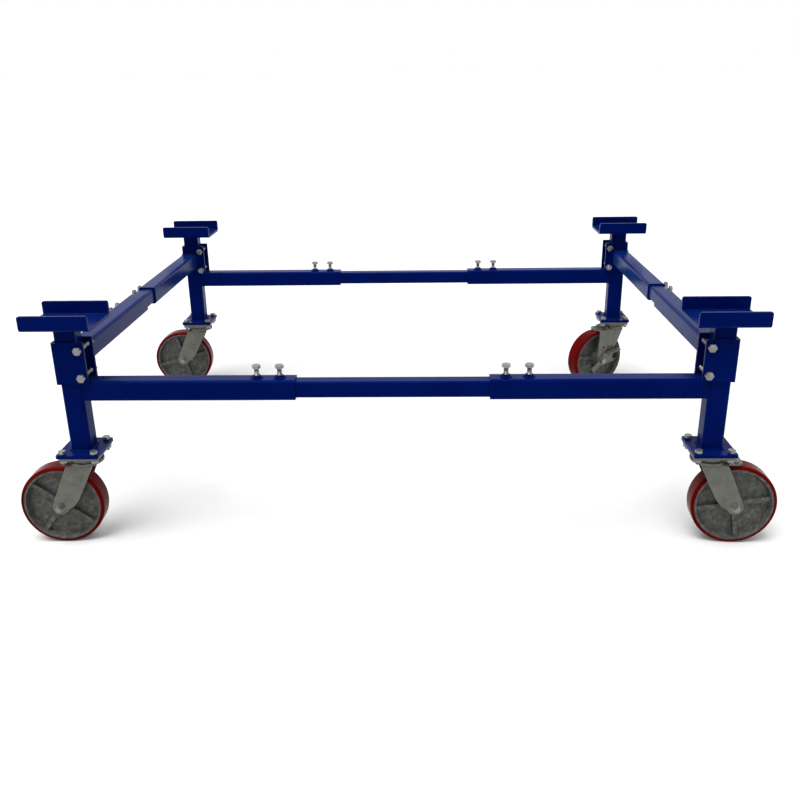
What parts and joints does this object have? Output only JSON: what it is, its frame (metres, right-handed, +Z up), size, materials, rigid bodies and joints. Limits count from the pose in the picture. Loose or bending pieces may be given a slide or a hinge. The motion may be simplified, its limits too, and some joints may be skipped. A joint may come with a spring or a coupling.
{
  "type": "adjustable engine stand",
  "caption": "Wheeled stand of telescoping square tubes with a channel saddle on each corner leg, for carrying an engine cradle or frame.",
  "frame": {"origin": "on the floor, at the centre of the footprint box", "axes": "+X along the stand from the plain casters to the braked casters, +Y from the front to the rear, +Z up"},
  "size_m": [1.8448, 1.303, 0.593],
  "materials": {
    "blue_paint": "gloss powder coat",
    "zinc": "zinc plated, satin",
    "cast_iron": "rough grey casting",
    "tread": "glossy red polyurethane"
  },
  "bodies": {
    "leg_fl": {"leg_fl": "blue_paint", "saddle_fl": "blue_paint", "long_sleeve_fl": "blue_paint", "caster_plate_fl": "zinc", "plate_bolts_fl": "zinc"},
    "leg_fr": {"leg_fr": "blue_paint", "saddle_fr": "blue_paint", "long_sleeve_fr": "blue_paint", "caster_plate_fr": "zinc", "plate_bolts_fr": "zinc"},
    "leg_rl": {"leg_rl": "blue_paint", "saddle_rl": "blue_paint", "long_sleeve_rl": "blue_paint", "caster_plate_rl": "zinc", "plate_bolts_rl": "zinc"},
    "leg_rr": {"leg_rr": "blue_paint", "saddle_rr": "blue_paint", "long_sleeve_rr": "blue_paint", "caster_plate_rr": "zinc", "plate_bolts_rr": "zinc"},
    "bracket_fl": {"bracket_fl": "blue_paint", "clamp_bolts_fl": "zinc"},
    "bracket_fr": {"bracket_fr": "blue_paint", "clamp_bolts_fr": "zinc"},
    "bracket_rl": {"bracket_rl": "blue_paint", "clamp_bolts_rl": "zinc"},
    "bracket_rr": {"bracket_rr": "blue_paint", "clamp_bolts_rr": "zinc"},
    "front_bar": {"front_bar": "blue_paint"},
    "rear_bar": {"rear_bar": "blue_paint"},
    "left_bar": {"left_bar": "blue_paint"},
    "right_bar": {"right_bar": "blue_paint"},
    "long_set_fl": {"long_set_bolts_fl": "zinc"},
    "long_set_fr": {"long_set_bolts_fr": "zinc"},
    "long_set_rl": {"long_set_bolts_rl": "zinc"},
    "long_set_rr": {"long_set_bolts_rr": "zinc"},
    "side_set_fl": {"side_set_bolts_fl": "zinc"},
    "side_set_fr": {"side_set_bolts_fr": "zinc"},
    "side_set_rl": {"side_set_bolts_rl": "zinc"},
    "side_set_rr": {"side_set_bolts_rr": "zinc"},
    "fork_fl": {"fork_fl": "zinc", "axle_fl": "zinc"},
    "fork_fr": {"fork_fr": "zinc", "axle_fr": "zinc"},
    "fork_rl": {"fork_rl": "zinc", "axle_rl": "zinc"},
    "fork_rr": {"fork_rr": "zinc", "axle_rr": "zinc"},
    "wheel_fl": {"wheel_core_fl": "cast_iron", "tread_fl": "tread"},
    "wheel_fr": {"wheel_core_fr": "cast_iron", "tread_fr": "tread"},
    "wheel_rl": {"wheel_core_rl": "cast_iron", "tread_rl": "tread"},
    "wheel_rr": {"wheel_core_rr": "cast_iron", "tread_rr": "tread"},
    "yoke_fr": {"brake_yoke_fr": "zinc"},
    "lever_fr": {"brake_lever_fr": "zinc"},
    "yoke_rr": {"brake_yoke_rr": "zinc"},
    "lever_rr": {"brake_lever_rr": "zinc"}
  },
  "joints": [
    {"name": "front_left_extend", "type": "slide", "parent": "leg_fl", "child": "front_bar", "axis": [1, 0, 0], "range_m": [-0.226, 0.16]},
    {"name": "front_right_extend", "type": "slide", "parent": "front_bar", "child": "leg_fr", "axis": [1, 0, 0], "range_m": [-0.226, 0.16]},
    {"name": "left_height", "type": "slide", "parent": "leg_fl", "child": "bracket_fl", "axis": [0, 0, 1], "range_m": [0, 0.033]},
    {"name": "left_front_extend", "type": "slide", "parent": "bracket_fl", "child": "left_bar", "axis": [0, 1, 0], "range_m": [-0.041, 0.32]},
    {"name": "left_rear_extend", "type": "slide", "parent": "left_bar", "child": "bracket_rl", "axis": [0, 1, 0], "range_m": [-0.041, 0.32]},
    {"name": "left_rear_height", "type": "slide", "parent": "bracket_rl", "child": "leg_rl", "axis": [0, 0, 1], "range_m": [-0.033, 0]},
    {"name": "rear_left_extend", "type": "slide", "parent": "leg_rl", "child": "rear_bar", "axis": [1, 0, 0], "range_m": [-0.226, 0.16]},
    {"name": "rear_right_extend", "type": "slide", "parent": "rear_bar", "child": "leg_rr", "axis": [1, 0, 0], "range_m": [-0.226, 0.16]},
    {"name": "right_height", "type": "slide", "parent": "leg_fr", "child": "bracket_fr", "axis": [0, 0, 1], "range_m": [0, 0.033]},
    {"name": "right_front_extend", "type": "slide", "parent": "bracket_fr", "child": "right_bar", "axis": [0, 1, 0], "range_m": [-0.041, 0.32]},
    {"name": "right_rear_extend", "type": "slide", "parent": "right_bar", "child": "bracket_rr", "axis": [0, 1, 0], "range_m": [-0.041, 0.32]},
    {"name": "swivel_fl", "type": "hinge", "parent": "leg_fl", "child": "fork_fl", "pos_m": [-0.752, -0.579, 0.22], "axis": [0, 0, 1], "continuous": true},
    {"name": "spin_fl", "type": "hinge", "parent": "fork_fl", "child": "wheel_fl", "pos_m": [-0.81991, -0.58256, 0.1016], "axis": [0.0523, -0.9986, 0], "continuous": true},
    {"name": "swivel_fr", "type": "hinge", "parent": "leg_fr", "child": "fork_fr", "pos_m": [0.752, -0.579, 0.22], "axis": [0, 0, 1], "continuous": true},
    {"name": "spin_fr", "type": "hinge", "parent": "fork_fr", "child": "wheel_fr", "pos_m": [0.81991, -0.58256, 0.1016], "axis": [0.0523, 0.9986, 0], "continuous": true},
    {"name": "brake_fr", "type": "hinge", "parent": "fork_fr", "child": "lever_fr", "pos_m": [0.81991, -0.58256, 0.1016], "axis": [0.0523, 0.9986, 0], "range_deg": [0, 30]},
    {"name": "brake_yoke_fr", "type": "slide", "parent": "fork_fr", "child": "yoke_fr", "axis": [0, 0, 1], "range_m": [0, 0.0031]},
    {"name": "swivel_rl", "type": "hinge", "parent": "leg_rl", "child": "fork_rl", "pos_m": [-0.752, 0.579, 0.22], "axis": [0, 0, 1], "continuous": true},
    {"name": "spin_rl", "type": "hinge", "parent": "fork_rl", "child": "wheel_rl", "pos_m": [-0.81983, 0.57426, 0.1016], "axis": [0.0698, -0.9976, 0], "continuous": true},
    {"name": "swivel_rr", "type": "hinge", "parent": "leg_rr", "child": "fork_rr", "pos_m": [0.752, 0.579, 0.22], "axis": [0, 0, 1], "continuous": true},
    {"name": "spin_rr", "type": "hinge", "parent": "fork_rr", "child": "wheel_rr", "pos_m": [0.69196, 0.54708, 0.1016], "axis": [0.4695, -0.8829, 0], "continuous": true},
    {"name": "brake_rr", "type": "hinge", "parent": "fork_rr", "child": "lever_rr", "pos_m": [0.69196, 0.54708, 0.1016], "axis": [0.4695, -0.8829, 0], "range_deg": [0, 30]},
    {"name": "brake_yoke_rr", "type": "slide", "parent": "fork_rr", "child": "yoke_rr", "axis": [0, 0, 1], "range_m": [0, 0.0031]},
    {"name": "long_set_screw_fl", "type": "slide", "parent": "leg_fl", "child": "long_set_fl", "axis": [0, 0, 1], "range_m": [0, 0.008]},
    {"name": "side_set_screw_fl", "type": "slide", "parent": "bracket_fl", "child": "side_set_fl", "axis": [-1, 0, 0], "range_m": [0, 0.008]},
    {"name": "long_set_screw_fr", "type": "slide", "parent": "leg_fr", "child": "long_set_fr", "axis": [0, 0, 1], "range_m": [0, 0.008]},
    {"name": "side_set_screw_fr", "type": "slide", "parent": "bracket_fr", "child": "side_set_fr", "axis": [1, 0, 0], "range_m": [0, 0.008]},
    {"name": "long_set_screw_rl", "type": "slide", "parent": "leg_rl", "child": "long_set_rl", "axis": [0, 0, 1], "range_m": [0, 0.008]},
    {"name": "side_set_screw_rl", "type": "slide", "parent": "bracket_rl", "child": "side_set_rl", "axis": [-1, 0, 0], "range_m": [0, 0.008]},
    {"name": "long_set_screw_rr", "type": "slide", "parent": "leg_rr", "child": "long_set_rr", "axis": [0, 0, 1], "range_m": [0, 0.008]},
    {"name": "side_set_screw_rr", "type": "slide", "parent": "bracket_rr", "child": "side_set_rr", "axis": [1, 0, 0], "range_m": [0, 0.008]}
  ],
  "couplings": [
    {"joint": "left_rear_height", "follows": "left_height", "ratio": -1},
    {"joint": "rear_left_extend", "follows": "front_left_extend", "ratio": 1},
    {"joint": "rear_right_extend", "follows": "front_right_extend", "ratio": 1},
    {"joint": "right_front_extend", "follows": "left_front_extend", "ratio": 1},
    {"joint": "right_rear_extend", "follows": "left_rear_extend", "ratio": 1},
    {"joint": "brake_yoke_fr", "follows": "brake_fr", "m_per_rad": 0.00573},
    {"joint": "brake_yoke_rr", "follows": "brake_rr", "m_per_rad": 0.00573}
  ]
}
